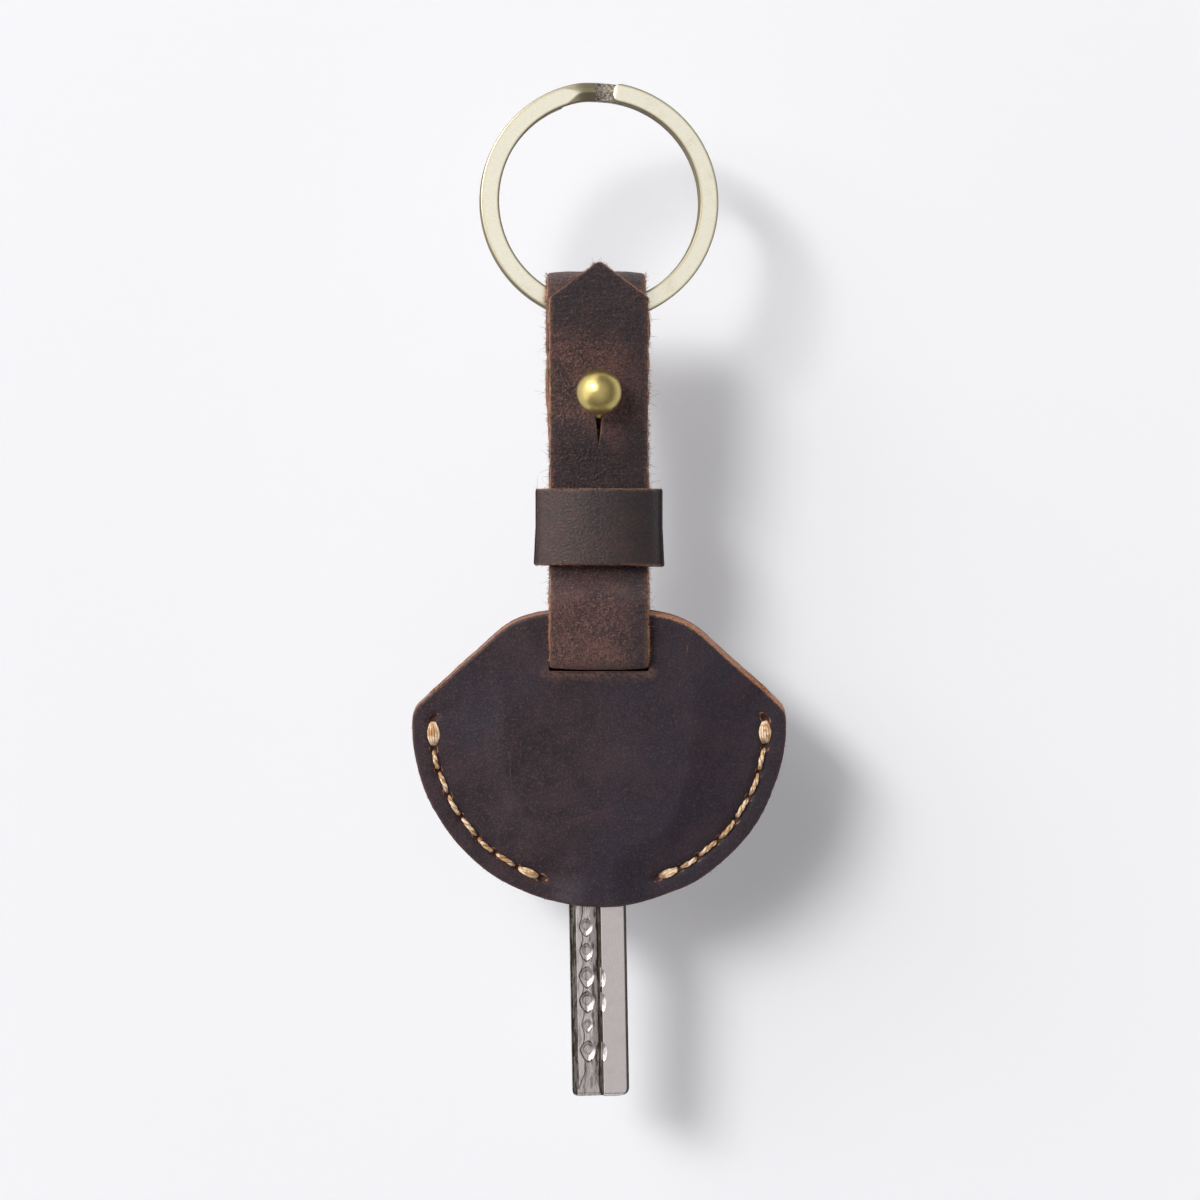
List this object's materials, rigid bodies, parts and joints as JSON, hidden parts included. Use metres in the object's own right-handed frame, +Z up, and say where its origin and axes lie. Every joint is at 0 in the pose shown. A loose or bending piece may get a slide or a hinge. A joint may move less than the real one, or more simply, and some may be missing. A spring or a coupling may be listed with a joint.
{
  "type": "key fob cover",
  "caption": "Stitched leather key cover on a folded strap with a keeper and ball stud, a split ring above and the key's blade below.",
  "frame": {"origin": "centre of the bounding box at the surface that the cover lies on", "axes": "+Y from the key's tip towards the split ring, +Z up out of the front of the cover, +X to the right"},
  "size_m": [0.05, 0.1362, 0.0158],
  "materials": {
    "dark_leather": "oiled, brown-black and mottled",
    "strap_leather": "oiled, rough grain with raw orange edges",
    "keeper_leather": "oiled, slightly polished",
    "waxed_thread": "waxed and twisted",
    "satin_brass": "satin",
    "pale_brass": "worn, lightly aged",
    "nickel_silver": "fine milled"
  },
  "bodies": {
    "strap_and_cover": {"strap": "strap_leather", "front_panel": "dark_leather", "back_panel": "dark_leather", "thread_left": "waxed_thread", "thread_right": "waxed_thread", "stud": "satin_brass", "stud_screw": "satin_brass"},
    "tongue": {"strap_tongue": "strap_leather"},
    "keeper": {"keeper": "keeper_leather"},
    "ring": {"split_ring": "pale_brass"},
    "key": {"key": "nickel_silver"}
  },
  "joints": [
    {"name": "tongue_lift", "type": "hinge", "parent": "strap_and_cover", "child": "tongue", "pos_m": [0, 0.0149, 0.0059], "axis": [1, 0, 0], "range_deg": [0, 90], "deforming": ["strap_tongue"]},
    {"name": "keeper_slide", "type": "slide", "parent": "strap_and_cover", "child": "keeper", "axis": [0, -1, 0], "range_m": [-0.003, 0.0012]},
    {"name": "ring_swing", "type": "hinge", "parent": "strap_and_cover", "child": "ring", "pos_m": [0, 0.03819, 0.00495], "axis": [1, 0, 0], "range_deg": [-160, 160]},
    {"name": "key_swing", "type": "hinge", "parent": "strap_and_cover", "child": "key", "pos_m": [0, -0.0097, 0.00495], "axis": [0, -0.0554, 0.9985], "range_deg": [-1.2, 1.8]}
  ]
}
